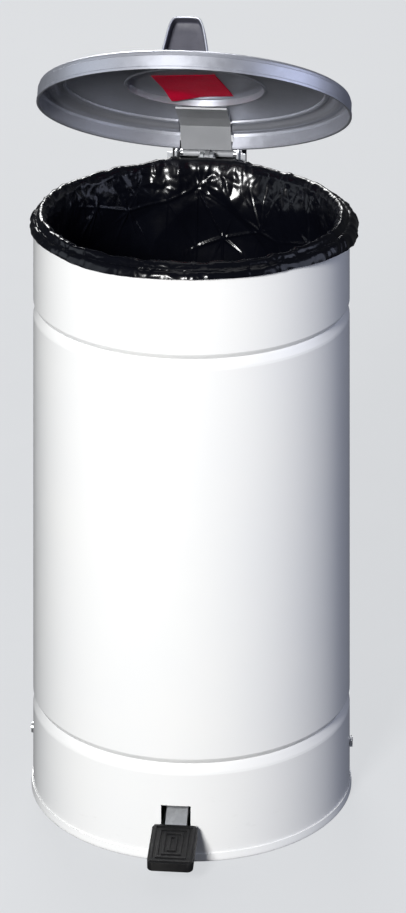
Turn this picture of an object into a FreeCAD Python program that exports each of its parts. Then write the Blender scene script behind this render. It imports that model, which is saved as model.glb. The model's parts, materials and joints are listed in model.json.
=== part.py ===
# Pedal-operated waste bin: enamelled steel drum, hinged lid with a grip, cross-axle pedal lever
# and a push rod behind the drum that lifts the lid. Millimetres, +Z up.
# Origin: centre of the base plate's underside, on the floor. The pedal faces -Y, the lid hinge +Y.
import FreeCAD
import Part
import math
import os
import Sketcher
from FreeCAD import Placement, Rotation, Vector

doc = FreeCAD.newDocument("pedal_bin")

# ---------------------------------------------------------------- driving dimensions
DRIVING = [
    ("body_radius", 200.0),
    ("body_wall", 1.0),
    ("body_bottom", 2.2),
    ("body_top", 704.5),
    ("upper_crease", 605.0),
    ("lower_crease", 116.0),
    ("crease_depth", 3.6),
    ("crease_slope", 13.0),
    ("crease_step", 6.4),
    ("base_thick", 1.8),
    ("base_lip", 9.0),
    ("deck_thick", 1.2),
    ("deck_rim", 10.0),
    ("collar_outer", 202.2),
    ("collar_inner", 186.5),
    ("collar_wall", 2.0),
    ("collar_low", 690.0),
    ("collar_ridge", 716.5),
    ("bag_film", 1.0),
    ("bag_gap", 0.3),
    ("collar_leg", 13.2),
    ("bag_cuff_low", 702.4),
    ("hinge_back", 234.0),
    ("hinge_height", 717.5),
    ("cover_back", 254.2),
    ("pin_radius", 2.6),
    ("rim_plane", 713.8),
    ("lid_radius", 201.2),
    ("lid_underside", 28.8),
    ("lid_shoulder", 26.6),
    ("lid_crown", 32.3),
    ("recess_radius", 88.0),
    ("recess_depth", 8.0),
    ("strap_width", 67.0),
    ("strap_thick", 2.5),
    ("rest_lift", 31.2),
    ("full_lift", 66.2),
    ("rod_back", 211.0),
    ("rod_radius", 3.0),
    ("axle_height", 57.0),
    ("axle_radius", 5.0),
    ("cap_radius", 6.4),
    ("cap_thick", 3.2),
    ("lever_width", 26.0),
    ("lever_wall", 2.0),
    ("lever_web", 2.5),
    ("pedal_wide", 55.0),
    ("pedal_long", 72.0),
    ("pedal_base", 10.5),
    ("pedal_rib", 1.5),
    ("pedal_tilt", 8.0),
    ("pedal_back", 204.0),
    ("pedal_height", 46.5),
    ("grip_base", 58.0),
    ("grip_crown", 36.0),
    ("grip_tall", 43.7),
    ("grip_deep", 22.0),
    ("grip_wall", 2.6),
    ("grip_forward", 150.0),
    ("label_wide", 84.0),
    ("label_long", 102.0),
    ("label_thick", 0.4),
    ("web_inner", 39.5),
    ("web_thick", 3.0),
    ("guard_half", 19.5),
    ("guard_wall", 1.5),
    ("guard_back", 228.0),
    ("guard_low", 22.0),
    ("guard_top", 636.0),
    ("running_gap", 0.06),
]
sheet = doc.addObject("Spreadsheet::Sheet", "Sizes")
for row, (alias, number) in enumerate(DRIVING, start=1):
    sheet.set(f"A{row}", alias)
    sheet.set(f"B{row}", str(number))
    sheet.setAlias(f"B{row}", alias)
doc.recompute()


class Dim:
    """A length or ratio that knows its value and the sheet expression that gives it."""

    def __init__(self, value, text):
        self.value = value
        self.text = text

    def _join(self, other, sign, result):
        return Dim(result, f"({self.text} {sign} {other.text})")

    def __add__(self, other):
        other = dim(other)
        return self._join(other, "+", self.value + other.value)

    def __sub__(self, other):
        other = dim(other)
        return self._join(other, "-", self.value - other.value)

    def __mul__(self, other):
        other = dim(other)
        return self._join(other, "*", self.value * other.value)

    def __truediv__(self, other):
        other = dim(other)
        return self._join(other, "/", self.value / other.value)

    def __neg__(self):
        return dim(0.0) - self

    def __radd__(self, other):
        return dim(other) + self

    def __rsub__(self, other):
        return dim(other) - self

    def __rmul__(self, other):
        return dim(other) * self


def dim(value):
    return value if isinstance(value, Dim) else Dim(float(value), f"({float(value)})")


def sine(angle):
    return Dim(math.sin(math.radians(angle.value)), f"sin({angle.text} * 1deg)")


def cosine(angle):
    return Dim(math.cos(math.radians(angle.value)), f"cos({angle.text} * 1deg)")


S = {alias: Dim(float(sheet.get(alias)), f"Sizes.{alias}") for alias, _ in DRIVING}

# lengths that follow from the driving ones
crank_reach = S["hinge_back"] - S["rod_back"]
crank_drop = S["full_lift"] / 2
rest_droop = crank_drop - S["rest_lift"]
rod_pin_height = S["hinge_height"] - crank_reach * sine(rest_droop) / cosine(rest_droop)
deck_height = S["lower_crease"] + S["crease_step"] + 0.4

nodes = []


def publish(obj, label):
    obj.Label = label
    nodes.append(obj)
    return obj


# ---------------------------------------------------------------- feature helpers
def new_body(label):
    return publish(doc.addObject("PartDesign::Body", label), label)


def add_sketch(body, role, name):
    plane = next(p for p in body.Origin.OriginFeatures if p.Role == role)
    sketch = body.newObject("Sketcher::SketchObject", name)
    sketch.AttachmentSupport = (plane, [""])
    sketch.MapMode = "FlatFace"
    return sketch


def pin_point(sketch, geometry, spot, u, v):
    """Hold one point of the sketch at (u, v) from its origin, both bound to the sheet."""
    for kind, length in (("DistanceX", dim(u)), ("DistanceY", dim(v))):
        index = sketch.addConstraint(Sketcher.Constraint(kind, -1, 1, geometry, spot, length.value))
        sketch.setExpression(f"Constraints[{index}]", length.text)


def add_polygon(sketch, corners):
    first = sketch.GeometryCount
    count = len(corners)
    flat = [(dim(u).value, dim(v).value) for u, v in corners]
    for i in range(count):
        start = Vector(*flat[i], 0)
        end = Vector(*flat[(i + 1) % count], 0)
        sketch.addGeometry(Part.LineSegment(start, end), False)
    for i in range(count):
        follower = first + (i + 1) % count
        sketch.addConstraint(Sketcher.Constraint("Coincident", first + i, 2, follower, 1))
    for i, (u, v) in enumerate(corners):
        pin_point(sketch, first + i, 1, u, v)


def add_circle(sketch, u, v, radius):
    radius = dim(radius)
    centre = Vector(dim(u).value, dim(v).value, 0)
    index = sketch.addGeometry(Part.Circle(centre, Vector(0, 0, 1), radius.value), False)
    pin_point(sketch, index, 3, u, v)
    bound = sketch.addConstraint(Sketcher.Constraint("Radius", index, radius.value))
    sketch.setExpression(f"Constraints[{bound}]", radius.text)


def polygon(body, role, name, *outlines):
    sketch = add_sketch(body, role, name)
    for corners in outlines:
        add_polygon(sketch, corners)
    return sketch


def rectangle(u0, v0, u1, v1):
    return [(u0, v0), (u1, v0), (u1, v1), (u0, v1)]


def revolve(body, name, *outlines):
    """Turn an outline in the XZ plane (radius, height) about Z."""
    sketch = polygon(body, "XZ_Plane", name + "_outline", *outlines)
    feature = body.newObject("PartDesign::Revolution", name)
    feature.Profile = sketch
    feature.ReferenceAxis = (sketch, ["V_Axis"])
    feature.Angle = 360.0
    return feature


def prism(body, kind, name, sketch, length, both_ways=True, reverse=False):
    """Pad or Pocket a sketch by a bound length, half each way unless told otherwise."""
    feature = body.newObject("PartDesign::" + kind, name)
    feature.Profile = sketch
    length = dim(length)
    feature.Length = length.value
    feature.setExpression("Length", length.text)
    feature.Midplane = both_ways
    feature.Reversed = reverse
    return feature


def soften(body, name, radius, wanted):
    """Fillet the edges of the body's tip that the test picks."""
    doc.recompute()
    tip = body.Tip
    names = [f"Edge{i}" for i, edge in enumerate(tip.Shape.Edges, start=1) if wanted(edge)]
    feature = body.newObject("PartDesign::Fillet", name)
    feature.Base = (tip, names)
    feature.Radius = radius
    return feature


def bind_base(obj, corner):
    for letter, length in zip("xyz", corner):
        obj.setExpression(f"Placement.Base.{letter}", dim(length).text)


def block(name, low, high):
    """A box between two bound corners."""
    obj = doc.addObject("Part::Box", name)
    for side, start, end in zip(("Length", "Width", "Height"), low, high):
        obj.setExpression(side, (dim(end) - dim(start)).text)
    bind_base(obj, low)
    return obj


TURN = {
    "X": Rotation(Vector(0, 1, 0), 90),
    "Y": Rotation(Vector(1, 0, 0), -90),
    "Z": Rotation(),
}


def rod(name, axis, radius, start, length):
    """A cylinder from a bound start point along +X, +Y or +Z."""
    obj = doc.addObject("Part::Cylinder", name)
    obj.Placement = Placement(Vector(), TURN[axis])
    obj.setExpression("Radius", dim(radius).text)
    obj.setExpression("Height", dim(length).text)
    bind_base(obj, start)
    return obj


def cut(name, base, *tools):
    for i, tool in enumerate(tools):
        step = doc.addObject("Part::Cut", f"{name}_cut{i}")
        step.Base = base
        step.Tool = tool
        base = step
    return base


def gather(kind, name, parts):
    obj = doc.addObject("Part::" + kind, name)
    obj.Shapes = parts
    return obj


def fuse(name, parts):
    return gather("MultiFuse", name, parts)


def group(label, parts):
    """Several identical separate solids in one node."""
    obj = doc.addObject("Part::Compound", label)
    obj.Links = parts
    return publish(obj, label)


def ring(name, inner, outer, low, high):
    """A tube about Z."""
    outside = rod(name + "_outside", "Z", outer, (0, 0, low), dim(high) - low)
    inside = rod(name + "_inside", "Z", inner, (0, 0, dim(low) - 1), dim(high) - low + 2)
    return cut(name, outside, inside)


def wall_strip(name, inner, outer, half_wide, low, high):
    """The part of a tube about Z that lies behind the drum, half_wide each side of the middle."""
    keep = block(name + "_keep", (-dim(half_wide), 100, low), (half_wide, 260, high))
    return gather("MultiCommon", name, [ring(name + "_ring", inner, outer, low, high), keep])


def radial_fastener(name, x, z, head, shank, inside, outside, proud):
    """A domed rivet or screw through the back of the drum, pointing out from its axis."""
    x = dim(x).value
    angle = math.degrees(math.asin(x / outside))
    stem = Part.makeCylinder(shank, outside - inside, Vector(0, 0, 0), Vector(0, 1, 0))
    cap = Part.makeCylinder(head, proud, Vector(0, outside - inside, 0), Vector(0, 1, 0))
    crown = [edge for edge in cap.Edges if edge.CenterOfMass.y > cap.CenterOfMass.y + proud * 0.4]
    cap = cap.makeFillet(proud * 0.6, crown[:1])
    shape = stem.fuse(cap)
    place = Placement(Vector(0, 0, z), Rotation(Vector(0, 0, 1), -angle))
    obj = doc.addObject("Part::Feature", name)
    obj.Shape = shape
    obj.Placement = place.multiply(Placement(Vector(0, inside, 0), Rotation()))
    return obj


def lift_with_lid(obj, local=Placement()):
    """Turn a piece made in the closed position to the resting, part-open lid."""
    centre = Vector(0, S["hinge_back"].value, S["hinge_height"].value)
    turn = Placement(Vector(), Rotation(Vector(-1, 0, 0), S["rest_lift"].value), centre)
    obj.Placement = turn.multiply(local)
    return obj


# ---------------------------------------------------------------- drum
def crease(level):
    """Outer points of one rolled crease, going up: a long slope in, then a shorter one out."""
    full = S["body_radius"]
    deep = full - S["crease_depth"]
    return [
        (full, level - S["crease_slope"]),
        (full - 0.5, level - S["crease_slope"] + 2.8),
        (deep + 0.4, level - 1.2),
        (deep, level),
        (deep + 0.3, level + 0.6),
        (full - 0.8, level + S["crease_step"] - 2),
        (full, level + S["crease_step"]),
    ]


def make_body_shell():
    body = new_body("body_shell")
    full, wall = S["body_radius"], S["body_wall"]
    outer = [(full, S["body_bottom"])] + crease(S["lower_crease"]) + crease(S["upper_crease"])
    outer.append((full, S["body_top"]))
    inner = [(r - wall, z) for r, z in reversed(outer)]
    revolve(body, "rolled_sheet", outer + inner)
    half_slot = S["lever_width"] / 2 + 5
    front = polygon(body, "XZ_Plane", "pedal_slot_outline", rectangle(-half_slot, 12, half_slot, 66))
    prism(body, "Pocket", "pedal_slot", front, 230, both_ways=False, reverse=True)
    back = polygon(body, "XZ_Plane", "lever_slot_outline", rectangle(-half_slot, 28, half_slot, 88))
    prism(body, "Pocket", "lever_slot", back, 230, both_ways=False)
    sides = add_sketch(body, "YZ_Plane", "axle_hole_outline")
    add_circle(sides, 0, S["axle_height"], S["axle_radius"] + 0.2)
    prism(body, "Pocket", "axle_holes", sides, 430)
    return body


def make_base_plate():
    body = new_body("base_plate")
    lip = S["body_radius"] + 0.3
    thick = S["base_thick"]
    revolve(body, "pressed_disc", [
        (0, 0), (lip + 1.3, 0), (lip + 1.9, 0.8), (lip + 1.9, 2.6), (lip + 1.1, S["base_lip"]),
        (lip, S["base_lip"]), (lip, thick), (0, thick),
    ])


def make_floor_deck():
    body = new_body("floor_deck")
    edge = S["body_radius"] - S["body_wall"] - 1.0
    thick = S["deck_thick"]
    revolve(body, "hemmed_disc", [
        (0, deck_height), (edge, deck_height), (edge, deck_height + S["deck_rim"]),
        (edge - thick, deck_height + S["deck_rim"]), (edge - thick, deck_height + thick),
        (0, deck_height + thick),
    ])


def make_rim_collar():
    body = new_body("rim_collar")
    outer, inner, wall = S["collar_outer"], S["collar_inner"], S["collar_wall"]
    ridge = S["collar_ridge"]
    revolve(body, "hollow_collar", [
        (outer, ridge - S["collar_leg"]), (outer, ridge - 11.5), (outer - 1.2, ridge - 9.6),
        (outer - 6.2, ridge - 5), (outer - 8.6, ridge - 0.8), (outer - 9.9, ridge),
        (inner + 2.4, ridge), (inner + 0.6, ridge - 0.9),
        (inner, ridge - 3), (inner, S["collar_low"]), (inner + wall, S["collar_low"]),
        (inner + wall, ridge - 2.4), (inner + wall + 0.6, ridge - 1.9), (outer - 10.6, ridge - 1.9),
        (outer - 8.1, ridge - 5.9), (outer - 2.6, ridge - 11), (outer - wall, ridge - 11.8),
        (outer - wall, ridge - S["collar_leg"]),
    ])


def make_bin_bag():
    """Film bag as one thin-walled open cup: inside lining, over the collar, and a short cuff."""
    body = new_body("bin_bag")
    outer, inner, ridge = S["collar_outer"], S["collar_inner"], S["collar_ridge"]
    gap, film = S["bag_gap"], S["bag_film"]
    low = deck_height + S["deck_thick"] + 2
    in_face = inner - gap
    out_face = outer + gap
    revolve(body, "film", [
        (0, low), (in_face - 14, low), (in_face - 3, low + 8), (in_face, low + 40), (in_face, ridge - 3),
        (in_face + 0.6, ridge - 0.6), (inner + 2.2, ridge + gap), (outer - 9.7, ridge + gap),
        (outer - 8.2, ridge - 0.4), (outer - 5.8, ridge - 4.7), (outer - 0.9, ridge - 9.2),
        (out_face, ridge - 11.3), (out_face, S["bag_cuff_low"]), (out_face + film, S["bag_cuff_low"]),
        (out_face + film, ridge - 11), (outer - 0.2, ridge - 8.3), (outer - 5.0, ridge - 4),
        (outer - 7.4, ridge + 0.3), (outer - 9.3, ridge + gap + film), (inner + 1.8, ridge + gap + film),
        (in_face - 0.4, ridge), (in_face - film, ridge - 2.8), (in_face - film, low + 40),
        (in_face - film - 3, low + 8.8), (in_face - film - 13.4, low + film), (0, low + film),
    ])


# ---------------------------------------------------------------- hinge and rod cover on the back
def make_hinge_bracket():
    body = doc.addObject("PartDesign::Body", "hinge_webs")
    inner, thick = S["web_inner"], S["web_thick"]
    back, top = S["cover_back"] - 2.2, S["hinge_height"] + 10.5
    start = 197.0
    shelf = S["hinge_height"] - 27
    web = inner + thick
    wing = web + 9.4
    side = polygon(body, "YZ_Plane", "web_outline", [
        (start, 640), (back - 26, 640), (back, 672), (back, top - 8), (back - 8, top),
        (206.5, top), (206.5, 694), (start, 694),
    ])
    prism(body, "Pad", "webs", side, web * 2)
    flange = polygon(body, "YZ_Plane", "flange_outline", rectangle(206.5, 640, 208.5, top - 1.5))
    prism(body, "Pad", "flanges", flange, wing * 2)
    gap = polygon(
        body, "YZ_Plane", "gap_outline", rectangle(190, 630, back + 5, top + 5),
        rectangle(S["hinge_back"] + 2, shelf, back - 2.6, shelf + 2.5),
    )
    prism(body, "Pocket", "gap_between_webs", gap, inner * 2)
    slots = polygon(
        body, "XZ_Plane", "flange_slot_outline", rectangle(web, 697, web + 2.7, top + 5),
        rectangle(-web - 2.7, 697, -web, top + 5),
    )
    prism(body, "Pocket", "flange_slots", slots, 540)
    bore = add_sketch(body, "YZ_Plane", "pin_hole_outline")
    add_circle(bore, S["hinge_back"], S["hinge_height"], S["pin_radius"] + 0.02)
    prism(body, "Pocket", "pin_holes", bore, 120)
    plate = wall_strip("bracket_plate", S["body_radius"] + 0.1, S["body_radius"] + 2.1, 58, 640, 694)
    publish(fuse("hinge_bracket", [body, plate]), "hinge_bracket")


def make_hinge_cover():
    """Black plate closing the hinge from behind, with lips that grip the bracket's shelf."""
    half, back = S["web_inner"] - 0.3, S["cover_back"]
    wide = S["web_inner"] + S["web_thick"] + 7.0
    shelf = S["hinge_height"] - 27
    plate = block("cover_plate", (-wide, back - 2, 668), (wide, back, S["hinge_height"] + 10))
    lips = [
        block("cover_lip_low", (-half, back - 7.2, shelf - 2.1), (half, back - 1, shelf - 0.1)),
        block("cover_lip_high", (-half, back - 7.2, shelf + 2.6), (half, back - 1, shelf + 4.6)),
    ]
    publish(fuse("hinge_cover", [plate] + lips), "hinge_cover")


def make_hinge_pin():
    half = S["web_inner"] + S["web_thick"] + 2.6
    pin = rod("hinge_pin_solid", "X", S["pin_radius"], (-half, S["hinge_back"], S["hinge_height"]), half * 2)
    publish(pin, "hinge_pin")
    place = (S["hinge_back"], S["hinge_height"])
    clip = S["web_inner"] + S["web_thick"] + 0.3
    washer = S["strap_width"] / 2 + 0.4
    rings = {"hinge_clips": (clip, 1.2, 4.6, 0.0), "hinge_washers": (washer, 3.8, 4.4, 0.1)}
    for label, (offset, thick, radius, play) in rings.items():
        pair = []
        for side, start in (("left", -offset - thick), ("right", offset)):
            disc = rod(f"{label}_{side}", "X", radius, (start, *place), thick)
            hole = rod(f"{label}_{side}_hole", "X", S["pin_radius"] + play, (start - 1, *place), thick + 2)
            pair.append(cut(f"{label}_{side}_ring", disc, hole))
        group(label, pair)


def make_lid_stop_buffer():
    shelf = S["hinge_height"] - 24.5
    back = S["hinge_back"] + 13
    pad = block("lid_stop_solid", (-9, back - 10.5, shelf), (9, back - 0.5, S["hinge_height"] - 11.2))
    publish(pad, "lid_stop_buffer")


def make_rod_guard():
    half, wall, back = S["guard_half"], S["guard_wall"], S["guard_back"]
    low, top = S["guard_low"], S["guard_top"]
    skin = S["body_radius"] + 0.1
    shell = block("guard_shell", (-half, 190, low), (half, back, top))
    flange = wall_strip("guard_flange", skin, skin + wall, 31, low, top)
    whole = fuse("guard_whole", [shell, flange])
    hollow = block("guard_hollow", (-half + wall, 180, low - 5), (half - wall, back - wall, top + 5))
    drum = rod("guard_drum", "Z", skin, (0, 0, low - 5), top - low + 10)
    publish(cut("rod_guard", whole, hollow, drum), "rod_guard")


def make_rod_guides():
    for label, low, standoff in (("rod_guide_lower", 150.0, 0.1), ("rod_guide_upper", 648.0, 2.2)):
        lump = block(label + "_block", (-11, 190, low), (11, 221, low + 15))
        drum = rod(label + "_drum", "Z", S["body_radius"] + standoff, (0, 0, low - 5), 25)
        bore = rod(label + "_bore", "Z", S["rod_radius"] + S["running_gap"], (0, S["rod_back"], low - 5), 25)
        publish(cut(label, lump, drum, bore), label)


def make_back_fasteners():
    wall = S["body_radius"].value - S["body_wall"].value
    rivets = [
        radial_fastener(f"bracket_rivet_{i}", x, z, 4.5, 2.2, wall - 1.5, 202.1, 2.2)
        for i, (x, z) in enumerate([(-51, 652), (51, 652), (-51, 682), (51, 682)])
    ]
    group("bracket_rivets", rivets)
    screws = [
        radial_fastener(f"guard_screw_{side}_{z}", side * 25.5, z, 3.8, 1.8, wall - 2.0, 201.6, 2.0)
        for z in (45, 330, 612) for side in (-1, 1)
    ]
    group("guard_screws", screws)


# ---------------------------------------------------------------- pedal
def make_pedal_axle():
    seat = S["body_radius"] + 0.5
    half = seat + 1.1
    height = S["axle_height"]
    publish(rod("axle_solid", "X", S["axle_radius"], (-half, 0, height), half * 2), "pedal_axle")
    thick = S["cap_thick"]
    caps = []
    for side, start, hole in (("left", -seat - thick, -half), ("right", seat, seat - 1)):
        cap = rod(f"cap_{side}", "X", S["cap_radius"], (start, 0, height), thick)
        bore = rod(f"cap_{side}_bore", "X", S["axle_radius"], (hole, 0, height), 2.1)
        caps.append(cut(f"cap_{side}_cup", cap, bore))
    group("axle_caps", caps)
    hub_end = S["lever_width"] / 2 + 1.6
    length = S["body_radius"] - S["body_wall"] - 1.5 - hub_end
    for side, start in (("left", -hub_end - length), ("right", hub_end)):
        tube = rod(f"spacer_{side}_tube", "X", 7, (start, 0, height), length)
        bore = rod(f"spacer_{side}_bore", "X", S["axle_radius"] + 0.1, (start - 1, 0, height), length + 2)
        publish(cut(f"axle_spacer_{side}", tube, bore), f"axle_spacer_{side}")


def make_pedal_lever():
    """Folded channel, open below: long rear arm, cranked front arm and a flat tongue in the pad."""
    body = new_body("pedal_lever")
    height, web = S["axle_height"], S["lever_web"]
    top, bottom = height + 11, height - 9
    rear = S["rod_back"] + 7
    tilt = S["pedal_tilt"]
    along = (-cosine(tilt), -sine(tilt))
    down = (sine(tilt), -cosine(tilt))

    def on_tongue(reach, depth):
        return (
            -S["pedal_back"] + along[0] * reach + down[0] * depth,
            S["pedal_height"] + along[1] * reach + down[1] * depth,
        )

    plate = S["pedal_rib"] + S["pedal_base"] / 2 - web / 2
    outline = polygon(body, "YZ_Plane", "side_outline", [
        (rear, top), (-150, top), (-186, height - 7), on_tongue(-1.5, plate), on_tongue(66, plate),
        on_tongue(66, plate + web), on_tongue(-1.5, plate + web), (-190, height - 22), (-150, bottom),
        (-16, bottom), (-9, bottom - 2), (9, bottom - 2), (16, bottom), (rear, bottom),
    ])
    prism(body, "Pad", "folded_blank", outline, S["lever_width"])
    hollow = polygon(body, "YZ_Plane", "channel_outline", [
        (rear + 5, top + 5), (S["rod_back"] - 9, top + 5), (S["rod_back"] - 9, top - web), (-149, top - web),
        (-184, height - 9.5), (-190, height - 30), (rear + 5, height - 30),
    ])
    prism(body, "Pocket", "channel", hollow, S["lever_width"] - S["lever_wall"] * 2)
    holes = add_sketch(body, "YZ_Plane", "hole_outline")
    add_circle(holes, 0, height, 7.0)
    add_circle(holes, S["rod_back"], height, S["rod_radius"] + 0.7)
    prism(body, "Pocket", "pivot_holes", holes, 40)
    half = S["lever_width"] / 2 + 1.2
    tube = rod("hub_tube", "X", 7.0, (-half, 0, height), half * 2)
    bore = rod("hub_bore", "X", S["axle_radius"] + S["running_gap"], (-half - 1, 0, height), half * 2 + 2)
    publish(cut("lever_hub", tube, bore), "lever_hub")


def make_pedal_pad():
    """Rubber tread over the lever's tongue, with three nested ribs on top."""
    body = new_body("pedal_pad")
    wide, deep = S["pedal_wide"], S["pedal_long"]
    foot = polygon(body, "XY_Plane", "tread_outline", rectangle(-wide / 2, -deep, wide / 2, 0))
    prism(body, "Pad", "tread", foot, S["pedal_base"], both_ways=False, reverse=True)
    soften(body, "round_corners", 7.0, lambda e: abs(e.tangentAt(e.FirstParameter).z) > 0.99)
    frames = []
    for inset in (2.4, 9.0, 15.6, 22.2):
        frames.append(rectangle(-wide / 2 + inset, -deep + inset, wide / 2 - inset, -inset))
        edge = inset + 3.0
        frames.append(rectangle(-wide / 2 + edge, -deep + edge, wide / 2 - edge, -edge))
    ribs = polygon(body, "XY_Plane", "rib_outline", *frames)
    prism(body, "Pad", "ribs", ribs, S["pedal_rib"], both_ways=False)
    middle = -S["pedal_base"] / 2
    slot = S["lever_web"] / 2 + 0.05
    socket = polygon(body, "YZ_Plane", "socket_outline", rectangle(-67, middle - slot, 5, middle + slot))
    prism(body, "Pocket", "tongue_socket", socket, S["lever_width"] + 0.2)
    tilt = Rotation(Vector(1, 0, 0), S["pedal_tilt"].value)
    ribs_below = Vector(0, 0, -S["pedal_rib"].value)
    top = Placement(Vector(0, -S["pedal_back"].value, S["pedal_height"].value), tilt)
    body.Placement = top.multiply(Placement(ribs_below, Rotation()))
    rivets = []
    stem = S["pedal_base"] - 2
    for i, reach in enumerate((18, 50)):
        shank = rod(f"pad_rivet_{i}_shank", "Z", 2.5, (0, -reach, -S["pedal_base"] - 0.6), stem)
        head = rod(f"pad_rivet_{i}_head", "Z", 5, (0, -reach, -S["pedal_base"] - 1.6), 1.6)
        rivets.append(fuse(f"pad_rivet_{i}", [shank, head]))
    group("pad_rivets", rivets).Placement = body.Placement


# ---------------------------------------------------------------- push rod
def make_push_rod():
    back, radius = S["rod_back"], S["rod_radius"]
    foot_pin = S["axle_height"]
    foot_seat, fork_low = foot_pin + 4, rod_pin_height - 25
    fork_seat = fork_low + 7
    publish(rod("push_rod_solid", "Z", radius, (0, back, foot_seat), fork_seat - foot_seat), "push_rod")
    lump = block("foot_block", (-9, back - 5.5, foot_pin - 6.5), (9, back + 5.5, foot_pin + 11))
    seat = rod("foot_seat", "Z", radius, (0, back, foot_seat), 12)
    eye = rod("foot_eye", "X", radius, (-12, back, foot_pin), 24)
    publish(cut("rod_foot", lump, seat, eye), "rod_foot")
    lump = block("fork_block", (-9, back - 6, fork_low), (9, back + 6, rod_pin_height + 8))
    mouth = block("fork_mouth", (-4, back - 8, fork_low + 10), (4, back + 8, rod_pin_height + 12))
    seat = rod("fork_seat", "Z", radius, (0, back, fork_low - 2), 9)
    eye = rod("fork_eye", "X", radius, (-12, back, rod_pin_height), 24)
    publish(cut("rod_fork", lump, mouth, seat, eye), "rod_fork")
    pins = {"rod_lower_pin": (14.8, foot_pin, 13.4), "rod_upper_pin": (11.6, rod_pin_height, 9.2)}
    clips = []
    for label, (half, height, clip) in pins.items():
        publish(rod(label + "_solid", "X", radius, (-half, back, height), half * 2), label)
        for side, start in (("left", -clip - 1.1), ("right", clip)):
            disc = rod(f"{label}_clip_{side}", "X", 5, (start, back, height), 1.1)
            hole = rod(f"{label}_clip_{side}_hole", "X", radius, (start - 1, back, height), 3.1)
            clips.append(cut(f"{label}_clip_{side}_ring", disc, hole))
    group("rod_pin_clips", clips)


# ---------------------------------------------------------------- lid, modelled shut and then lifted
def make_lid_shell():
    body = new_body("lid_shell")
    rim, radius = S["rim_plane"], S["lid_radius"]
    under, shoulder, crown = S["lid_underside"], S["lid_shoulder"], S["lid_crown"]
    recess, deep = S["recess_radius"], S["recess_depth"]
    profile = [
        (radius, 0), (radius, 3.0), (radius - 0.7, 3.8), (radius - 0.7, shoulder - 10),
        (radius - 1.5, shoulder - 9.2), (radius - 1.9, shoulder - 6.2), (radius - 3.0, shoulder - 4.2),
        (radius - 5.2, shoulder - 2.6), (radius - 14, shoulder - 0.6), (radius - 18, shoulder),
        (162.0, crown), (recess + 12, crown), (recess + 8.5, crown + 1.1), (recess + 3.5, crown + 6.3),
        (recess - 1, crown + 7.3), (60, crown + 7.9), (0, crown + 8.3), (0, under + deep),
        (recess - 1.6, under + deep), (recess - 0.4, under + deep - 1), (recess, under - 0.6),
        (recess + 2.2, under - 0.6), (recess + 3, under + 1.2), (165.0, under), (165.6, under - 2.4),
        (166.4, under - 3.4), (169.4, under - 3.4), (170.4, under - 2.2), (171.2, under - 1.6),
        (176.0, under - 2.8), (178.0, under - 4.2), (180.6, under - 7), (183.5, under - 9),
        (186.5, under - 9.5), (189.4, under - 8.8), (191.0, under - 6.8), (194.5, under - 7.2),
        (radius - 4.0, under - 9.2), (radius - 3.1, under - 12.8), (radius - 3.1, 3.4),
        (radius - 3.3, 0.8), (radius - 2.6, 0),
    ]
    revolve(body, "moulded_dish", [(r, rim + z) for r, z in profile])
    notch = polygon(body, "YZ_Plane", "notch_outline", [
        (96, rim - 20), (225, rim - 20), (225, rim + under - 9.8), (186, rim + under - 9.8),
        (173, rim + under + 0.3), (96, rim + under + 1.1),
    ])
    prism(body, "Pocket", "strap_notch", notch, S["strap_width"] + 3)
    lift_with_lid(body)


def make_lid_hinge_strap():
    """Bent plate under the lid, with a sloped panel closing the skirt's gap, a tail that curls
    round the hinge pin, and the slotted crank in its middle."""
    body = new_body("lid_hinge_strap")
    pin_y, pin_z = S["hinge_back"], S["hinge_height"]
    rim, thick = S["rim_plane"], S["strap_thick"]
    seat = rim + S["lid_underside"] + 0.2
    tail = pin_z + S["pin_radius"] + 1.8
    plate = polygon(body, "YZ_Plane", "plate_outline", [
        (97, seat - thick), (141, seat - thick), (171, rim + 23.4), (203.6, rim + 0.8), (205.1, rim + 2.8),
        (201.0, tail - 2.2), (pin_y - 1, tail - 2.2), (pin_y - 1, tail), (197.6, tail),
        (172.4, rim + 25.9), (141.3, seat), (97, seat),
    ])
    prism(body, "Pad", "bent_plate", plate, S["strap_width"])
    barrel = add_sketch(body, "YZ_Plane", "barrel_outline")
    add_circle(barrel, pin_y, pin_z, S["pin_radius"] + 1.8)
    prism(body, "Pad", "barrel", barrel, S["strap_width"])
    cos_drop, sin_drop = cosine(crank_drop), sine(crank_drop)

    def on_crank(reach, across):
        """A point measured along the crank from the hinge, and across it."""
        return (
            pin_y - cos_drop * reach + sin_drop * across,
            pin_z - sin_drop * reach - cos_drop * across,
        )

    slot = S["rod_radius"] + 0.8
    prong = slot + 3.2
    tip = crank_reach + 6
    arm = polygon(body, "YZ_Plane", "crank_outline", [
        on_crank(-14, -3), on_crank(0, -3.2), on_crank(4, -prong), on_crank(tip, -prong),
        on_crank(tip, prong), on_crank(4, prong), on_crank(0, 3.2), on_crank(-14, 3),
    ])
    prism(body, "Pad", "crank", arm, 6)
    mouth = polygon(body, "YZ_Plane", "slot_outline", [
        on_crank(crank_reach - 0.4, -slot), on_crank(tip + 3, -slot), on_crank(tip + 3, slot),
        on_crank(crank_reach - 0.4, slot),
    ])
    prism(body, "Pocket", "slot", mouth, 10)
    holes = add_sketch(body, "YZ_Plane", "bore_outline")
    add_circle(holes, *on_crank(crank_reach - 0.4, 0), slot)
    prism(body, "Pocket", "slot_end", holes, 10)
    bore = add_sketch(body, "YZ_Plane", "pin_bore_outline")
    add_circle(bore, pin_y, pin_z, S["pin_radius"] + S["running_gap"])
    prism(body, "Pocket", "pin_bore", bore, S["strap_width"] + 10)
    lift_with_lid(body)


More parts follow.
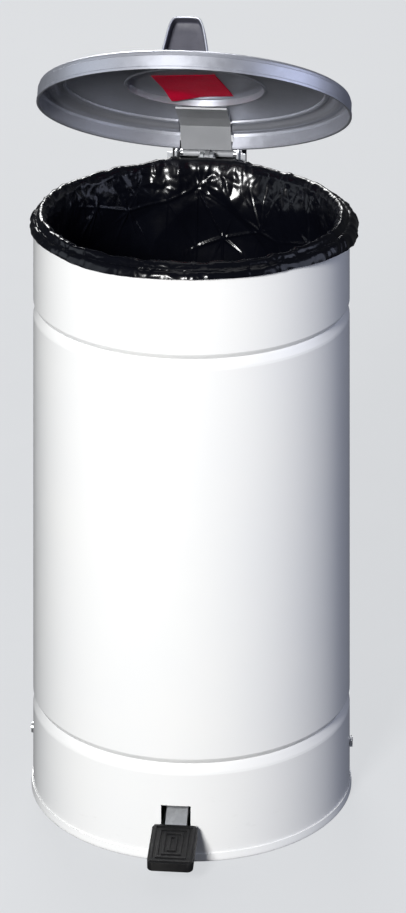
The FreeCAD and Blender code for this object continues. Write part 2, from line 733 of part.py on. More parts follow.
def make_lid_fasteners():
    screws = []
    under = S["rim_plane"] + S["lid_underside"]
    for x in (-17, 17):
        head = rod(f"grip_screw_head_{x}", "Z", 3.6, (x, -S["grip_forward"], under - 1.8), 1.8)
        shank = rod(f"grip_screw_shank_{x}", "Z", 1.8, (x, -S["grip_forward"], under), 6.5)
        screws.append(fuse(f"grip_screw_{x}", [head, shank]))
    lift_with_lid(group("grip_screws", screws))


def make_lid_grip():
    """Hollow moulded grip standing on the lid, open to the front, narrower at its crown."""
    body = new_body("lid_grip")
    tall, wall = S["grip_tall"], S["grip_wall"]
    foot, crown = S["grip_base"] / 2, S["grip_crown"] / 2
    shape = [
        (-foot, 0), (foot, 0), (foot - 4.5, tall * 0.5), (crown + 2.5, tall - 7), (crown - 4, tall - 1),
        (crown - 9, tall), (9 - crown, tall), (4 - crown, tall - 1), (-2.5 - crown, tall - 7),
        (4.5 - foot, tall * 0.5),
    ]
    outline = polygon(body, "XZ_Plane", "grip_outline", shape)
    prism(body, "Pad", "grip_solid", outline, S["grip_deep"], both_ways=False)
    mouth = polygon(body, "XZ_Plane", "mouth_outline", [
        (wall - foot, 3), (foot - wall, 3), (foot - 4.5 - wall, tall * 0.5), (crown + 2.5 - wall, tall - 9),
        (crown - 8, tall - wall - 1), (8 - crown, tall - wall - 1), (wall - 2.5 - crown, tall - 9),
        (4.5 + wall - foot, tall * 0.5),
    ])
    prism(body, "Pocket", "grip_mouth", mouth, S["grip_deep"] * 2 + 4)
    back = polygon(body, "XZ_Plane", "back_outline", shape)
    prism(body, "Pad", "grip_back", back, 3, both_ways=False)
    seat = S["rim_plane"].value + S["lid_crown"].value
    spot = Vector(0, S["grip_deep"].value / 2 - S["grip_forward"].value, seat)
    lift_with_lid(body, Placement(spot, Rotation()))


def make_lid_label():
    wide, deep, thick = S["label_wide"], S["label_long"], S["label_thick"]
    label = block("lid_label_solid", (-wide / 2, -deep / 2, 0), (wide / 2, deep / 2, thick))
    holder = gather("MultiCommon", "lid_label", [label, block("label_bounds", (-90, -90, -1), (90, 90, 2))])
    publish(holder, "lid_label")
    ceiling = S["rim_plane"].value + S["lid_underside"].value + S["recess_depth"].value
    spot = Vector(-5.0, 19.0, ceiling - thick.value - 0.1)
    lift_with_lid(holder, Placement(spot, Rotation(Vector(0, 0, 1), -9.6)))


for make in (
    make_body_shell, make_base_plate, make_floor_deck, make_rim_collar, make_bin_bag,
    make_hinge_bracket, make_hinge_cover, make_hinge_pin, make_lid_stop_buffer,
    make_rod_guard, make_rod_guides, make_back_fasteners,
    make_pedal_axle, make_pedal_lever, make_pedal_pad, make_push_rod,
    make_lid_shell, make_lid_hinge_strap, make_lid_fasteners, make_lid_grip, make_lid_label,
):
    make()
doc.recompute()

# ---------------------------------------------------------------- checks and export
for obj in doc.Objects:
    if {"Invalid", "Error"} & set(obj.State):
        raise RuntimeError(f"{obj.Name} failed: {obj.State}")
os.makedirs("parts", exist_ok=True)
for node in nodes:
    shape = node.Shape
    if shape.isNull() or not shape.isValid() or not shape.Solids:
        raise RuntimeError(f"{node.Label} has no valid solid")
    shape.exportStep(f"parts/{node.Label}.step")
    print(f"{node.Label}: {len(shape.Solids)} solid(s), {shape.Volume / 1000:.1f} cm3")
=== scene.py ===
import json
import math

import bpy
import numpy as np
from mathutils import Matrix, Vector
from mathutils.geometry import delaunay_2d_cdt


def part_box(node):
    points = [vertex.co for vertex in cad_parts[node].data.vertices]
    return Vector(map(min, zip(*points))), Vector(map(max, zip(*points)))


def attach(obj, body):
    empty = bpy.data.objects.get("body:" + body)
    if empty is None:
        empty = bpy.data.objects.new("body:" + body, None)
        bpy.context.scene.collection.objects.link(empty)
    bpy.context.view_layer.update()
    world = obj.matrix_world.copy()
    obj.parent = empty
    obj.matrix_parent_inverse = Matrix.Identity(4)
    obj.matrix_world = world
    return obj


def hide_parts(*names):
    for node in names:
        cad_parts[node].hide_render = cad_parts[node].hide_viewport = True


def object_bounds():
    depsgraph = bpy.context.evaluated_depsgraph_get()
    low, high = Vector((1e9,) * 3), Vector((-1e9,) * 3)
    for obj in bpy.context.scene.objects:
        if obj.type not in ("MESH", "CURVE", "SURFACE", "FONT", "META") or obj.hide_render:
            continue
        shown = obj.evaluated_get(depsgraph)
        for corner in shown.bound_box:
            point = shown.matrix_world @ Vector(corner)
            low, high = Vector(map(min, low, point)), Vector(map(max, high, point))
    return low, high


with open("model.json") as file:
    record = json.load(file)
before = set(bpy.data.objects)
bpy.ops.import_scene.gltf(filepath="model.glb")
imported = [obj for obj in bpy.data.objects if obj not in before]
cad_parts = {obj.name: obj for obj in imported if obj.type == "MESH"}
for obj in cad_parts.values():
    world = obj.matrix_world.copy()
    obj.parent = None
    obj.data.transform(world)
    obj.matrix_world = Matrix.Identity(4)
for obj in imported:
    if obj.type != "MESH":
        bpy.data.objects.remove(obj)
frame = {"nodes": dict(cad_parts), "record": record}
CAD_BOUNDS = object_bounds()
NODES = frame["nodes"]
SCENE = bpy.context.scene
SCENE.view_settings.view_transform = "Standard"

# ------------------------------------------------------------------ places taken from the frame
LID_HINGE = next(j for j in frame["record"]["behaviour"]["joints"] if j["name"] == "lid_hinge")
HINGE = Vector(LID_HINGE["pos_m"])
REST_LIFT = math.radians(-LID_HINGE["range_deg"][0])
COLLAR_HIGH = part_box("rim_collar")[1]
BAG_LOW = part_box("bin_bag")[0]


# ------------------------------------------------------------------ camera
def make_camera():
    """A view camera: its film stands upright, so the drum's sides stay parallel.

    An upright film with a raised camera is a sheared view. The shear comes from a parent with
    unequal scales, split into turn, scale and turn, so the camera itself keeps no shift.
    """
    yaw = math.radians(5.3)         # the bin's front is turned this much to the left
    distance, height = 4.505, 2.23  # from the drum's axis, and above the floor
    sideways = 0.0145               # the drum stands a little left of the frame's middle
    upright_lens = 140.4            # focal length of the upright film, for a 36 mm long side
    dip = math.radians(22.02)       # from the horizon down to the frame's middle
    right = Vector((math.cos(yaw), math.sin(yaw), 0))
    away = Vector((-math.sin(yaw), math.cos(yaw), 0))
    back = -away * math.cos(dip) + Vector((0, 0, math.sin(dip)))
    columns = np.array([right, (0, 0, 1), back]).T
    turn_out, scales, turn_in = np.linalg.svd(columns)
    if np.linalg.det(turn_out) < 0:
        turn_out[:, 2] *= -1
        turn_in[2, :] *= -1
    rig = bpy.data.objects.new("camera_rig", None)
    camera = bpy.data.objects.new("camera", bpy.data.cameras.new("camera"))
    for obj in (rig, camera):
        SCENE.collection.objects.link(obj)
        obj.rotation_mode = "QUATERNION"
    rig.location = right * sideways - away * distance + Vector((0, 0, height))
    rig.rotation_quaternion = Matrix(turn_out.tolist()).to_quaternion()
    rig.scale = scales.tolist()
    camera.parent = rig
    camera.rotation_quaternion = Matrix(turn_in.tolist()).to_quaternion()
    camera.data.sensor_width = 36
    camera.data.lens = upright_lens / math.cos(dip)
    camera.data.clip_end = 100
    SCENE.camera = camera


make_camera()


# ------------------------------------------------------------------ node helpers
class Shader:
    """A small builder for one procedural material."""

    def __init__(self, name):
        self.material = bpy.data.materials.new(name)
        self.material.use_nodes = True
        self.tree = self.material.node_tree
        self.principled = self.tree.nodes["Principled BSDF"]
        self.place = self.node("ShaderNodeTexCoord").outputs["Object"]

    def node(self, kind, **settings):
        node = self.tree.nodes.new(kind)
        for key, value in settings.items():
            setattr(node, key, value)
        return node

    def link(self, source, target):
        self.tree.links.new(source, target)

    def set(self, **sockets):
        for name, value in sockets.items():
            self.principled.inputs[name.replace("_", " ")].default_value = value

    def stretched(self, scale):
        mapping = self.node("ShaderNodeMapping")
        mapping.inputs["Scale"].default_value = scale
        self.link(self.place, mapping.inputs["Vector"])
        return mapping.outputs["Vector"]

    def noise(self, scale, detail=4.0, rough=0.55, place=None):
        node = self.node("ShaderNodeTexNoise")
        node.inputs["Scale"].default_value = scale
        node.inputs["Detail"].default_value = detail
        node.inputs["Roughness"].default_value = rough
        self.link(place or self.place, node.inputs["Vector"])
        return node.outputs["Fac"]

    def cells(self, scale, output="Color"):
        node = self.node("ShaderNodeTexVoronoi", feature="F1")
        node.inputs["Scale"].default_value = scale
        self.link(self.place, node.inputs["Vector"])
        return node.outputs[output]

    def remap(self, value, low, high, to_low, to_high):
        node = self.node("ShaderNodeMapRange")
        limits = {"From Min": low, "From Max": high, "To Min": to_low, "To Max": to_high}
        for key, number in limits.items():
            node.inputs[key].default_value = number
        self.link(value, node.inputs["Value"])
        return node.outputs["Result"]

    def math(self, operation, a, b):
        node = self.node("ShaderNodeMath", operation=operation)
        for socket, value in zip(node.inputs, (a, b)):
            if isinstance(value, (int, float)):
                socket.default_value = value
            else:
                self.link(value, socket)
        return node.outputs[0]

    def tint(self, factor, first, second):
        node = self.node("ShaderNodeMix", data_type="RGBA")
        for key, value in (("A", first), ("B", second)):
            socket = next(s for s in node.inputs if s.name == key and s.type == "RGBA")
            if isinstance(value, tuple):
                socket.default_value = (*value, 1)
            else:
                self.link(value, socket)
        self.link(factor, node.inputs["Factor"])
        return next(s for s in node.outputs if s.type == "RGBA")

    def colour(self, value):
        self.link(value, self.principled.inputs["Base Color"])

    def roughness(self, value):
        self.link(value, self.principled.inputs["Roughness"])

    def bump(self, *layers):
        """Stack (height, strength, depth in metres) layers into the normal."""
        normal = None
        for height, strength, depth in layers:
            node = self.node("ShaderNodeBump")
            node.inputs["Strength"].default_value = strength
            node.inputs["Distance"].default_value = depth
            self.link(height, node.inputs["Height"])
            if normal:
                self.link(normal, node.inputs["Normal"])
            normal = node.outputs["Normal"]
        self.link(normal, self.principled.inputs["Normal"])

    def height_above_floor(self):
        split = self.node("ShaderNodeSeparateXYZ")
        self.link(self.place, split.inputs["Vector"])
        return split.outputs["Z"]

    def edge_wear(self):
        geometry = self.node("ShaderNodeNewGeometry")
        return self.remap(geometry.outputs["Pointiness"], 0.52, 0.6, 0, 1)


# ------------------------------------------------------------------ materials
def white_enamel():
    s = Shader("white_enamel")
    s.set(Coat_Weight=0.4, Coat_Roughness=0.12, Specular_IOR_Level=0.4)
    cloud = s.remap(s.noise(5, 3), 0.35, 0.65, 0, 1)
    clean = s.tint(cloud, (0.88, 0.885, 0.885), (0.90, 0.90, 0.89))
    near_floor = s.remap(s.height_above_floor(), 0.0, 0.10, 1, 0)
    scuff = s.remap(s.noise(38, 9, 0.7, s.stretched((1, 1, 2.5))), 0.60, 0.75, 0, 0.35)
    marked = s.math("MULTIPLY", near_floor, scuff)
    s.colour(s.tint(marked, clean, (0.6, 0.59, 0.56)))
    s.roughness(s.remap(s.noise(40, 4), 0.3, 0.7, 0.30, 0.38))
    s.bump((s.noise(260, 2), 0.03, 0.0003))
    return s.material


def silver_plastic():
    s = Shader("silver_plastic")
    s.set(Metallic=0.75)
    flake = s.remap(s.cells(2600), 0, 1, 0, 1)
    base = s.tint(flake, (0.46, 0.475, 0.53), (0.56, 0.575, 0.64))
    cloud = s.remap(s.noise(18, 5), 0.4, 0.7, 0, 0.25)
    s.colour(s.tint(cloud, base, (0.42, 0.435, 0.49)))
    s.roughness(s.remap(s.noise(120, 6), 0.3, 0.7, 0.38, 0.48))
    s.bump((s.noise(1500, 2), 0.10, 0.0002), (s.noise(30, 2), 0.03, 0.002))
    return s.material


def grip_grey():
    # Dark grey for the grip's hollow: painted shade, standing in for the shade inside the grip.
    s = Shader("grip_grey")
    s.set(Specular_IOR_Level=0.3)
    cloud = s.remap(s.noise(60, 5), 0.35, 0.65, 0, 1)
    s.colour(s.tint(cloud, (0.060, 0.060, 0.080), (0.075, 0.075, 0.097)))
    s.roughness(s.remap(s.noise(180, 5), 0.3, 0.7, 0.42, 0.56))
    s.bump((s.noise(1600, 2), 0.12, 0.0002))
    return s.material


def grey_steel():
    s = Shader("grey_steel")
    s.set(Metallic=0.15, Specular_IOR_Level=0.4)
    cloud = s.remap(s.noise(26, 5), 0.35, 0.65, 0, 1)
    s.colour(s.tint(cloud, (0.40, 0.41, 0.43), (0.45, 0.46, 0.48)))
    s.roughness(s.remap(s.noise(110, 6), 0.3, 0.7, 0.40, 0.52))
    s.bump((s.noise(900, 3), 0.08, 0.0002))
    return s.material


def galvanised_steel():
    s = Shader("galvanised_steel")
    s.set(Metallic=0.55)
    spangle = s.remap(s.cells(260), 0, 1, 0, 1)
    base = s.tint(spangle, (0.56, 0.58, 0.61), (0.70, 0.72, 0.75))
    stain = s.remap(s.noise(60, 6), 0.5, 0.75, 0, 0.4)
    s.colour(s.tint(stain, base, (0.42, 0.43, 0.45)))
    s.roughness(s.remap(s.noise(90, 6), 0.3, 0.7, 0.30, 0.48))
    s.bump((s.noise(700, 3), 0.08, 0.0002), (s.cells(260, output="Distance"), 0.05, 0.0005))
    return s.material


def bright_steel():
    s = Shader("bright_steel")
    s.set(Metallic=0.9, Anisotropic=0.3)
    s.colour(s.tint(s.noise(140, 6), (0.70, 0.71, 0.74), (0.84, 0.85, 0.87)))
    s.roughness(s.remap(s.noise(400, 6, 0.7, s.stretched((8, 1, 1))), 0.3, 0.7, 0.20, 0.36))
    s.bump((s.noise(900, 2, 0.5, s.stretched((10, 1, 1))), 0.06, 0.0002))
    return s.material


def black_plastic():
    s = Shader("black_plastic")
    s.set(Specular_IOR_Level=0.25)
    s.colour(s.tint(s.noise(80, 5), (0.006, 0.006, 0.007), (0.014, 0.014, 0.016)))
    s.roughness(s.remap(s.noise(200, 5), 0.3, 0.7, 0.42, 0.6))
    s.bump((s.noise(1800, 2), 0.15, 0.0002))
    return s.material


def black_rubber():
    s = Shader("black_rubber")
    s.set(Specular_IOR_Level=0.35)
    worn = s.math("MULTIPLY", s.edge_wear(), 0.5)
    dust = s.math("MULTIPLY", s.remap(s.noise(130, 8, 0.7), 0.45, 0.7, 0, 1), 0.45)
    s.colour(s.tint(s.math("MAXIMUM", dust, worn), (0.005, 0.005, 0.006), (0.03, 0.029, 0.028)))
    s.roughness(s.remap(s.noise(260, 6), 0.3, 0.7, 0.42, 0.66))
    s.bump((s.noise(1400, 3), 0.25, 0.0003))
    return s.material


def black_film():
    s = Shader("black_film")
    s.set(Specular_IOR_Level=0.30)
    s.colour(s.tint(s.noise(24, 5), (0.0012, 0.0014, 0.0028), (0.003, 0.0034, 0.006)))
    s.roughness(s.remap(s.noise(75, 6), 0.3, 0.7, 0.17, 0.24))
    s.bump((s.noise(45, 4, 0.6), 0.05, 0.003), (s.noise(320, 3), 0.06, 0.0006))
    return s.material


def red_label():
    s = Shader("red_label")
    s.set(Specular_IOR_Level=0.2)
    cloud = s.remap(s.noise(45, 6), 0.35, 0.7, 0, 1)
    s.colour(s.tint(cloud, (0.95, 0.008, 0.060), (0.86, 0.007, 0.052)))
    s.roughness(s.remap(s.noise(300, 4), 0.3, 0.7, 0.5, 0.65))
    s.bump((s.noise(900, 3), 0.10, 0.0002), (s.noise(35, 2), 0.12, 0.001))
    return s.material


MATERIALS = {make.__name__: make() for make in (
    white_enamel, silver_plastic, grip_grey, grey_steel, galvanised_steel, bright_steel,
    black_plastic, black_rubber, black_film, red_label,
)}
SLOT_OF = {part["node"]: part["material_slot"] for part in frame["record"]["subparts"]}


def dress(obj, slot):
    obj.data.materials.clear()
    obj.data.materials.append(MATERIALS[slot])


def soften_edges(obj, width):
    """Round the sharp edges of a pressed or moulded piece."""
    obj.modifiers.new("joined", "WELD").merge_threshold = 0.00002
    edges = obj.modifiers.new("rounded_edges", "BEVEL")
    edges.width = width
    edges.segments = 2
    edges.limit_method = "ANGLE"
    edges.angle_limit = math.radians(40)
    edges.harden_normals = True


for node_name, node_object in NODES.items():
    dress(node_object, SLOT_OF[node_name])
EDGE_ROUNDING = {
    "hinge_cover": 0.0012, "hinge_bracket": 0.0006, "lid_hinge_strap": 0.0005, "pedal_pad": 0.0006,
}
for node_name, width in EDGE_ROUNDING.items():
    soften_edges(NODES[node_name], width)


# ------------------------------------------------------------------ mesh helpers
def add_mesh(name, vertices, faces, slot, body):
    mesh = bpy.data.meshes.new(name)
    mesh.from_pydata([tuple(v) for v in vertices], [], [tuple(f) for f in faces])
    mesh.validate()
    mesh.update()
    mesh.shade_smooth()
    obj = bpy.data.objects.new(name, mesh)
    SCENE.collection.objects.link(obj)
    mesh.materials.append(MATERIALS[slot])
    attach(obj, body)
    return obj


def ring_faces(rows, columns):
    """Quads of a grid that closes on itself along its columns."""
    faces = []
    for i in range(rows - 1):
        for j in range(columns):
            k = (j + 1) % columns
            near, far = i * columns, (i + 1) * columns
            faces.append((near + j, near + k, far + k, far + j))
    return faces


# ------------------------------------------------------------------ bin bag
BAG_SIDES = 880
FINE_STRETCH = 0.13     # length of film, back from its hem, that is meshed closely
FINE_STEP = 0.0016
COARSE_STEP = 0.0034
CREST_HALF = 0.0038     # half the width of a pinched fold
RIM_PLANE = 0.7138      # height of the lid's lower edge when it is shut
LID_EDGE_IN = 0.1962    # within this radius the film may rise above that edge
NOTCH_EDGE_IN = 0.1950  # the same around the lid's notch for the hinge strap
FILM_ROOM = 0.0008      # the film keeps this far below the shut lid


def along_line(points):
    """Points along a polyline, close together over its last stretch, with their distance along it."""
    points = np.array(points, float)
    runs = np.linalg.norm(np.diff(points, axis=0), axis=1)
    marks = np.concatenate([[0], np.cumsum(runs)])
    border = marks[-1] - FINE_STRETCH
    deep = np.linspace(0, border, int(border / COARSE_STEP) + 1)
    near = np.linspace(border, marks[-1], int(FINE_STRETCH / FINE_STEP) + 1)
    stops = np.concatenate([deep, near[1:]])
    return np.column_stack([np.interp(stops, marks, points[:, i]) for i in range(2)]), stops


def smooth_step(value, low, high):
    x = np.clip((value - low) / (high - low), 0, 1)
    return x * x * (3 - 2 * x)


def facets(seed, around, down, wide, long, crest=False):
    """Heights 0 to 1 over a sheet made of flat triangles, or of the pinched crests between them."""
    rng = np.random.default_rng(seed)
    girth = around[-1] + around[1] - around[0]
    columns = max(4, round(girth / wide))
    rows = int((down[-1] - down[0]) / long) + 3
    spots = []
    for i in range(columns):
        for j in range(rows):
            u = (i + rng.uniform(0.05, 0.95)) * girth / columns
            v = down[0] + (j - 0.5 + rng.uniform(-0.45, 0.45)) * long
            spots.append((u, v, rng.uniform(0, 1)))
    margin = wide * 3
    spots += [(u + girth, v, h) for u, v, h in spots if u < margin]
    spots += [(u - girth, v, h) for u, v, h in spots if girth - margin < u < girth]
    flat = [Vector((u, v)) for u, v, _ in spots]
    corners, _, triangles, origins, _, _ = delaunay_2d_cdt(flat, [], [], 0, 1e-9)
    places = np.array([tuple(c) for c in corners])
    heights = np.array([spots[o[0]][2] for o in origins])
    field = np.full((len(down), len(around)), 0.5)
    for triangle in triangles:
        fill_triangle(field, around, down, places[list(triangle)], heights[list(triangle)], crest)
    return field


def fill_triangle(field, around, down, place, height, crest):
    i0, i1 = np.searchsorted(around, (place[:, 0].min(), place[:, 0].max()))
    j0, j1 = np.searchsorted(down, (place[:, 1].min(), place[:, 1].max()))
    if i0 == i1 or j0 == j1:
        return
    u, v = np.meshgrid(around[i0:i1], down[j0:j1])
    (ax, ay), (bx, by), (cx, cy) = place
    area = (bx - ax) * (cy - ay) - (cx - ax) * (by - ay)
    if abs(area) < 1e-12:
        return
    b = ((u - ax) * (cy - ay) - (cx - ax) * (v - ay)) / area
    c = ((bx - ax) * (v - ay) - (u - ax) * (by - ay)) / area
    a = 1 - b - c
    slack = -1e-9  # a shared edge belongs to both of its triangles
    inside = (a >= slack) & (b >= slack) & (c >= slack)
    if crest:
        longest = max(math.dist(place[i], place[i - 1]) for i in range(3))
        near = np.minimum(np.minimum(a, b), c) * abs(area) / longest
        value = np.clip(1 - near / CREST_HALF, 0, 1) * (a * height[0] + b * height[1] + c * height[2])
    else:
        value = a * height[0] + b * height[1] + c * height[2]
    field[j0:j1, i0:i1][inside] = value[inside]


def bag_outline():
    """Radius and height of the uncrumpled film, from the bag's bottom over the collar to the hem."""
    collar_width = 0.0165
    film_gap = 0.0006
    inner = COLLAR_HIGH.x - collar_width
    outer = COLLAR_HIGH.x + film_gap
    ridge = COLLAR_HIGH.z + film_gap
    floor = BAG_LOW.z + 0.002
    return [
        (0.0, floor), (inner - 0.03, floor + 0.001),
        (inner - 0.012, floor + 0.02), (inner - 0.005, floor + 0.07),
        (inner - 0.003, ridge - 0.02), (inner - 0.001, ridge - 0.006), (inner + 0.002, ridge - 0.001),
        (inner + 0.005, ridge + 0.0005), (outer - 0.010, ridge + 0.0003), (outer - 0.0085, ridge - 0.0010),
        (outer - 0.0060, ridge - 0.0052), (outer - 0.0012, ridge - 0.0098), (outer, ridge - 0.0125),
        (outer + 0.0004, ridge - 0.0145),
    ]


class Film:
    """The bag's sheet: its line from the bottom to the hem, and how far it stands off that line."""

    def __init__(self):
        line, stops = along_line(bag_outline())
        bottom_hole = 0.012  # closed by a fan of triangles
        keep = line[:, 0] > bottom_hole
        self.line, self.stops = line[keep], stops[keep]
        tangent = np.gradient(self.line, self.stops, axis=0)
        self.tangent = tangent / np.linalg.norm(tangent, axis=1)[:, None]
        self.angles = np.linspace(0, 2 * math.pi, BAG_SIDES, endpoint=False)
        self.around = self.angles * self.line[:, 0].max()
        self.back_from_hem = (self.stops[-1] - self.stops)[:, None]
        off_hinge = np.abs(np.degrees(self.angles) - 90)[None, :]
        # shares from 0 to 1: close to the hinge, loose on the right, outside the collar
        self.at_hinge = 1 - smooth_step(off_hinge, 9, 25)
        from_right = (np.degrees(self.angles)[None, :] + 180) % 360 - 180
        self.loose = np.interp(from_right, (-46, -10, 26, 60), (0, 1, 1, 0))
        self.outside = 1 - smooth_step(self.back_from_hem, 0.004, 0.0115)

    def field(self, seed, wide, long, crest=False):
        """Facets over this sheet, wide around the drum and long down the film, in metres."""
        return facets(seed, self.around, self.stops, wide, long, crest)

    def lining(self):
        """Slack folds and pinched crests inside the drum."""
        inside = smooth_step(self.back_from_hem, 0.026, 0.085)
        folds = self.field(21, 0.085, 0.12) * 0.015 + self.field(22, 0.040, 0.055) * 0.003
        pinch = np.clip(self.field(28, 0.050, 0.060, crest=True) - 0.45, 0, 1) * 0.0065
        return inside * (folds + pinch)

    def rim(self):
        """Small crumples on the collar, drawn in where the lid's edge comes down."""
        on_rim = 1 - smooth_step(self.back_from_hem, 0.05, 0.09)
        drawn_in = 1 - 0.65 * np.exp(-((self.back_from_hem - 0.0118) / 0.0025) ** 2)
        tight = drawn_in * (1 - self.outside * np.maximum(0.3 * (1 - self.loose), 0.9 * self.at_hinge))
        crumples = self.field(23, 0.010, 0.011) * 0.0026 + self.field(24, 0.026, 0.018) * 0.0024
        crumples += self.field(29, 0.024, 0.017, crest=True) * 0.0013
        return on_rim * tight * crumples

    def bunch(self):
        """Film gathered up in front of the hinge."""
        gather = 0.8 + 0.2 * self.field(25, 0.014, 0.05)
        rise = smooth_step(self.back_from_hem, 0.011, 0.019)
        fall = 1 - smooth_step(self.back_from_hem, 0.05, 0.13)
        return self.at_hinge * (rise * fall) * gather * 0.0090

    def cuff(self):
        """Cuff standing off the drum on the right."""
        return self.loose * self.outside * (0.0050 + 0.002 * self.field(26, 0.03, 0.03))

    def hem_drop(self):
        """The hem hangs unevenly, and lower where the cuff is loose."""
        hem = 1 - smooth_step(self.back_from_hem, 0.0, 0.010)
        uneven = self.field(27, 0.018, 0.5)[:1] - 0.5
        return hem * (uneven * 0.0030 - self.loose * 0.0075)

    def surface(self):
        stand_off = self.lining() + self.rim() + self.bunch() + self.cuff()
        radius = self.line[:, :1] - self.tangent[:, 1:] * stand_off
        height = self.line[:, 1:] + self.tangent[:, :1] * stand_off + self.hem_drop()
        x, y = radius * np.cos(self.angles), radius * np.sin(self.angles)
        return x, y, np.minimum(height, room_under_lid(radius, x, y))


def room_under_lid(radius, x, y):
    """Greatest height of the film, so that the shut lid's edge and strap clear it."""
    notch_half, strap_half = 0.055, 0.037   # half widths, with some room
    strap_from = 0.16                       # the strap's limit holds behind this y
    strap_y, strap_z = 0.190, 0.7240        # a point of the strap's underside
    strap_fall, edge_rise = 0.69, 4         # slopes of the two limits
    beside_strap = (np.abs(x) < notch_half) & (y > 0)
    inside_edge = np.where(beside_strap, NOTCH_EDGE_IN, LID_EDGE_IN)
    edge = RIM_PLANE + edge_rise * np.clip(inside_edge - radius, 0, 0.02)
    under_strap = (np.abs(x) < strap_half) & (y > strap_from)
    strap = np.where(under_strap, strap_z - (y - strap_y) * strap_fall, 1)
    return np.minimum(edge, strap) - FILM_ROOM


def make_bag():
    """Film bag: crumpled lining, rolled over the collar, with a short loose cuff outside."""
    x, y, height = Film().surface()
    vertices = np.stack([x, y, height], axis=-1).reshape(-1, 3)
    faces = ring_faces(len(height), BAG_SIDES)
    centre = len(vertices)
    vertices = np.vstack([vertices, [0, 0, height[0].mean()]])
    faces += [(centre, (j + 1) % BAG_SIDES, j) for j in range(BAG_SIDES)]
    bag = add_mesh("bin_bag_film", vertices, faces, "black_film", "drum")
    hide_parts("bin_bag")


make_bag()


# ------------------------------------------------------------------ pieces on the lid
LID_CROWN = 0.0323       # from the lid's lower edge up to the flat ring the grip stands on
RECESS_CEILING = 0.0368  # from the same edge up to the underside of the raised middle
GRIP_FORWARD = 0.150     # from the drum's axis to the grip's middle


def lifted(points):
    """Points given for the shut lid, turned up to where the lid rests."""
    turn = Matrix.Translation(HINGE) @ Matrix.Rotation(-REST_LIFT, 4, "X") @ Matrix.Translation(-HINGE)
    return [turn @ Vector(p) for p in points]


def rounded(points, passes=3):
    """Cut the corners of an open polyline a few times."""
    points = np.array(points, float)
    for _ in range(passes):
        near = points[:-1] * 0.75 + points[1:] * 0.25
        far = points[:-1] * 0.25 + points[1:] * 0.75
        middle = np.stack([near, far], axis=1).reshape(-1, 2)
        points = np.vstack([points[:1], middle, points[-1:]])
    return points


def grip_arc(inset):
    """The grip's outline from foot to foot, moved in by the given distance."""
    half = [(29, 0), (24.7, 21.5), (21.3, 35), (16.5, 42.6), (9, 43.7)]  # millimetres
    outline = [(-x, z) for x, z in half] + [(x, z) for x, z in reversed(half)]
    arc = rounded(outline) / 1000
    run = np.gradient(arc, axis=0)
    run /= np.linalg.norm(run, axis=1)[:, None]
    return arc + np.stack([run[:, 1], -run[:, 0]], axis=-1) * inset


def strip_faces(rows, columns):
    faces = []
    for i in range(rows - 1):
        for j in range(columns - 1):
            k = i * columns + j
            faces.append((k, k + 1, k + columns + 1, k + columns))
    return faces


def grip_piece(name, rows, slot):
    """Rows of (inset, y from the grip's middle, size) swept along the grip's outline."""
    vertices = []
    for inset, y, size in rows:
        for x, z in grip_arc(inset) * size:
            vertices.append((x, y - GRIP_FORWARD, RIM_PLANE + LID_CROWN + max(z, 0.0)))
    columns = len(vertices) // len(rows)
    faces = strip_faces(len(rows), columns)
    piece = add_mesh(name, lifted(vertices), faces, slot, "lid")
    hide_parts("lid_grip")


def make_grip():
    """Silver skin outside; the hollow inside is coloured dark grey as painted shade."""
    grip_piece("grip_skin", [
        (0.0024, 0.004, 1), (0.0024, -0.0095, 1), (0.0021, -0.0105, 1), (0.0012, -0.011, 1),
        (0.0004, -0.0107, 1), (0, -0.0098, 1), (0, 0.0095, 1), (0.0005, 0.0106, 1), (0.0018, 0.011, 1),
        (0.0018, 0.0110, 0.75), (0.0018, 0.0110, 0.35), (0.0018, 0.0110, 0.0),
    ], "silver_plastic")
    # The hollow takes the dark grey painted shade.
    grip_piece("grip_hollow", [
        (0.0025, -0.0090, 1), (0.0027, 0.0060, 1), (0.0032, 0.0076, 1), (0.0044, 0.0082, 1),
        (0.0044, 0.0083, 0.75), (0.0044, 0.0083, 0.35), (0.0044, 0.0083, 0.0),
    ], "grip_grey")


def make_label():
    """Old paper label in the lid's recess: one corner has come loose and hangs down."""
    wide, long = 0.084, 0.102
    place_x, place_y = -0.005, 0.019
    turn = math.radians(-9.6)
    columns, rows = 43, 52
    u, v = np.meshgrid(np.linspace(-0.5, 0.5, columns), np.linspace(-0.5, 0.5, rows))
    corner = smooth_step(v - u * 0.8, 0.45, 0.92)
    edge = smooth_step(v, 0.2, 0.5)
    nicks = np.random.default_rng(8).uniform(-1, 1, 12)
    tear = np.interp(u[0], np.linspace(-0.5, 0.5, 12), nicks) * 0.0012
    x = u * wide + corner * 0.001
    y = v * long + corner * 0.002 + smooth_step(v, 0.35, 0.5) * tear
    drop = 0.0005 + edge * 0.0009 + corner * 0.0046
    px = x * math.cos(turn) - y * math.sin(turn) + place_x
    py = x * math.sin(turn) + y * math.cos(turn) + place_y
    pz = RIM_PLANE + RECESS_CEILING - drop
    vertices = lifted(np.stack([px, py, pz], axis=-1).reshape(-1, 3))
    label = add_mesh("lid_label_sheet", vertices, strip_faces(rows, columns), "red_label", "lid")
    paper = label.modifiers.new("paper", "SOLIDIFY")
    paper.thickness = 0.0003
    paper.offset = 0
    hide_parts("lid_label")


make_grip()
make_label()


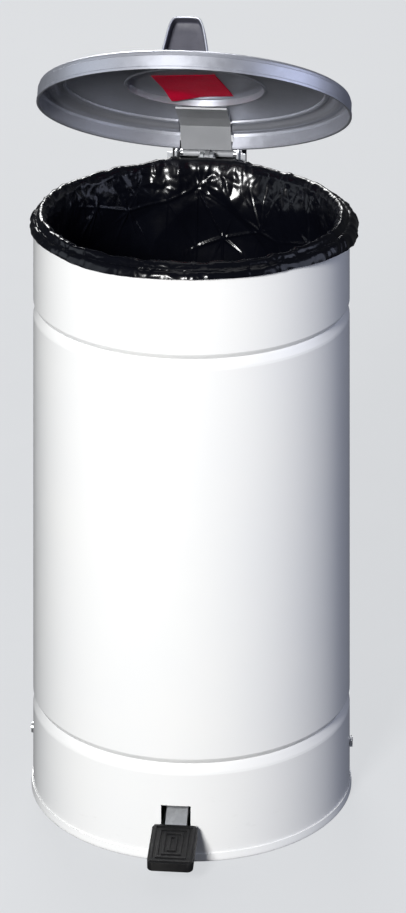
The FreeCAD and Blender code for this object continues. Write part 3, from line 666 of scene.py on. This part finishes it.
# ------------------------------------------------------------------ stage: floor, light and air
def make_floor():
    """Pale floor that curves up, far from the bin, into a round backdrop."""
    mesh = bpy.data.meshes.new("floor")
    sides = 96
    # radius and height, from just off the drum's axis, where the base hides the gap
    profile = rounded([(0.01, 0), (9, 0), (13, 0), (13, 4), (13, 14)])
    angles = np.linspace(0, 2 * math.pi, sides, endpoint=False)
    corners = [(r * math.cos(a), r * math.sin(a), z) for r, z in profile for a in angles]
    mesh.from_pydata(corners, [], ring_faces(len(profile), sides))
    mesh.shade_smooth()
    floor = bpy.data.objects.new("floor", mesh)
    floor.location.z = CAD_BOUNDS[0].z
    floor.visible_diffuse = False
    floor.visible_glossy = False
    floor.visible_shadow = False
    SCENE.collection.objects.link(floor)
    s = Shader("pale_floor")
    s.set(Specular_IOR_Level=0.05, Emission_Color=(0.70, 0.715, 0.735, 1), Emission_Strength=0.85)
    s.colour(s.tint(s.noise(1.3, 3), (0.095, 0.096, 0.098), (0.105, 0.106, 0.108)))
    s.roughness(s.remap(s.noise(9, 3), 0.3, 0.7, 0.78, 0.9))
    mesh.materials.append(s.material)


def add_light(name, place, aim, size, power, colour=(1, 1, 1)):
    data = bpy.data.lights.new(name, "AREA")
    data.shape = "RECTANGLE"
    data.size, data.size_y = size
    data.energy = power
    data.color = colour
    light = bpy.data.objects.new(name, data)
    light.location = place
    light.rotation_mode = "QUATERNION"
    light.rotation_quaternion = (Vector(aim) - Vector(place)).to_track_quat("-Z", "Y")
    light.visible_camera = False
    SCENE.collection.objects.link(light)


def make_air():
    world = bpy.data.worlds.new("studio_air")
    world.use_nodes = True
    background = world.node_tree.nodes["Background"]
    background.inputs["Color"].default_value = (0.80, 0.83, 0.88, 1)
    background.inputs["Strength"].default_value = 0.06
    SCENE.world = world


make_floor()
make_air()
add_light("front_softbox", (-1.05, -4.25, 2.45), (0, 0, 0.45), (0.9, 0.9), 275, (1, 0.997, 0.99))
add_light("left_softbox", (-3.4, -0.6, 1.7), (0, 0, 0.5), (3.0, 2.2), 22, (0.84, 0.91, 1))
add_light("right_softbox", (3.4, -0.3, 1.7), (0, 0, 0.5), (3.0, 2.2), 42, (0.70, 0.76, 1))
add_light("top_softbox", (0.2, 0.4, 4.2), (0, 0, 0.6), (2.0, 2.0), 14)
add_light("back_softbox", (-1.0, 4.2, 3.0), (0, 0, 0.5), (1.8, 1.8), 150)
